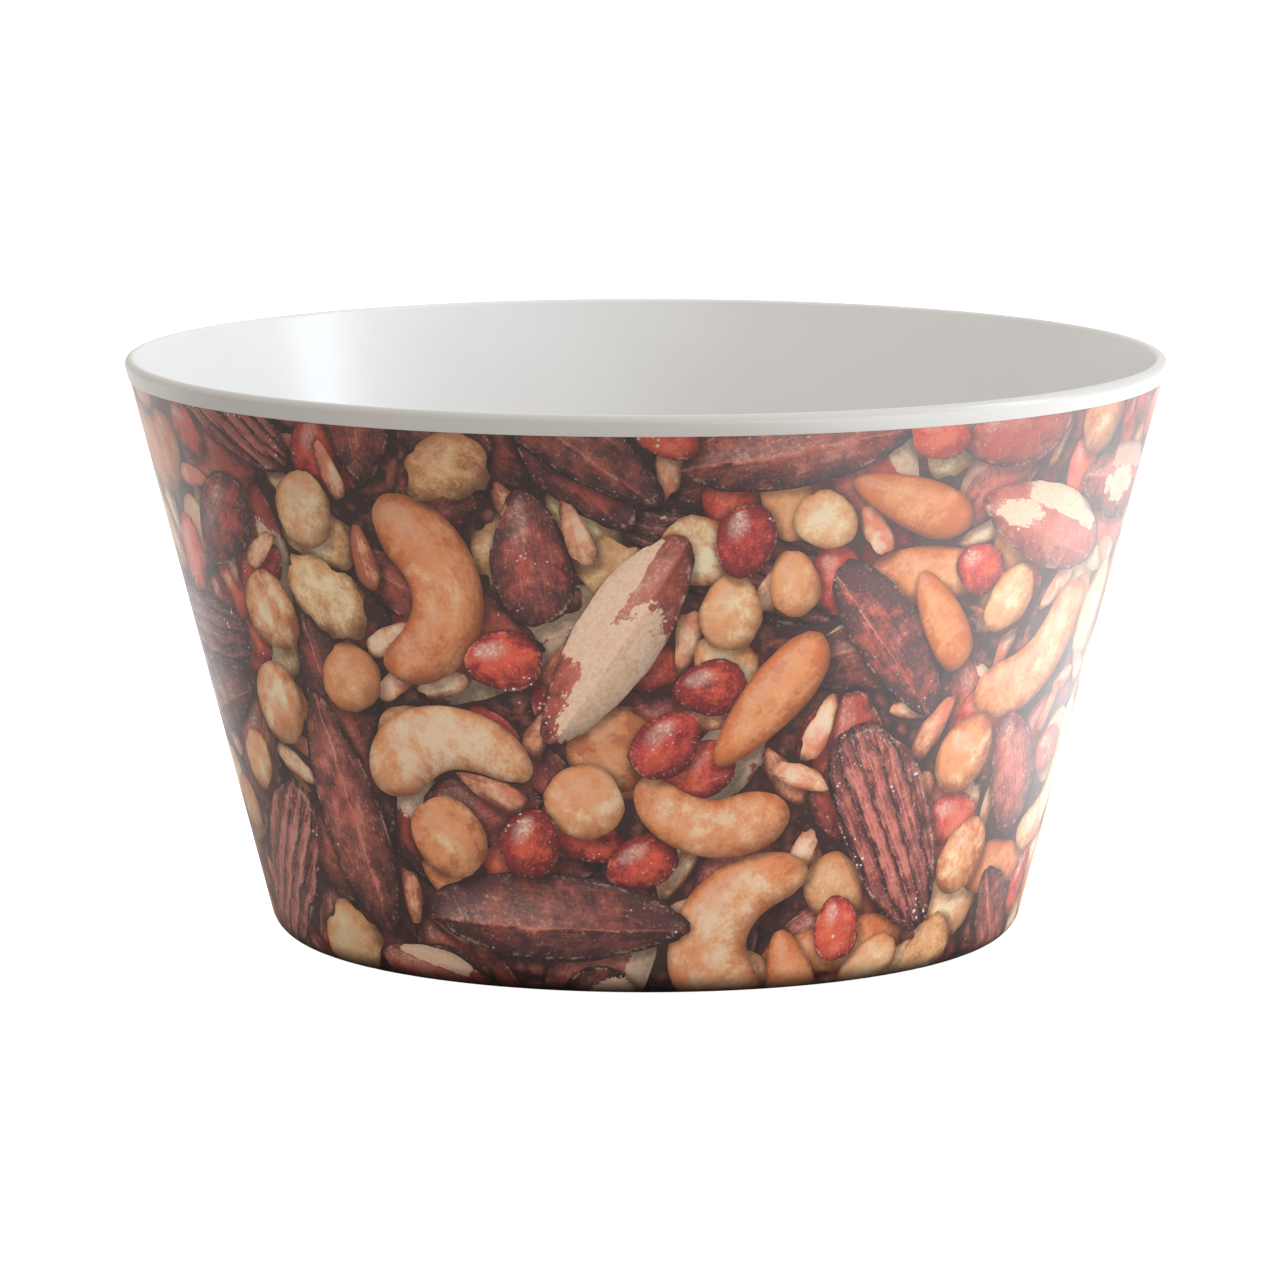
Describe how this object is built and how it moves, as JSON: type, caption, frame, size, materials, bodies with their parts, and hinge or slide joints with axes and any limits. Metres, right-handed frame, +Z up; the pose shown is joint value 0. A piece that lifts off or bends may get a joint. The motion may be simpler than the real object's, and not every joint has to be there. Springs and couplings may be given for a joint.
{
  "type": "melamine snack bowl",
  "caption": "Empty conical snack bowl of white melamine with a rounded lip, a low foot ring and an all-over mixed-nut print outside.",
  "frame": {"origin": "on the table under the middle of the bowl, in the plane of the foot ring's flat face", "axes": "+Z up along the bowl's axis of symmetry; X and Y are level, and any turn about Z is alike but for the print"},
  "size_m": [0.16, 0.16, 0.0895],
  "materials": {
    "melamine": "satin gloss white",
    "nut_print": "satin gloss printed foil, mixed nuts in browns, reds and cream"
  },
  "bodies": {
    "root": {"bowl": "melamine"}
  },
  "joints": []
}
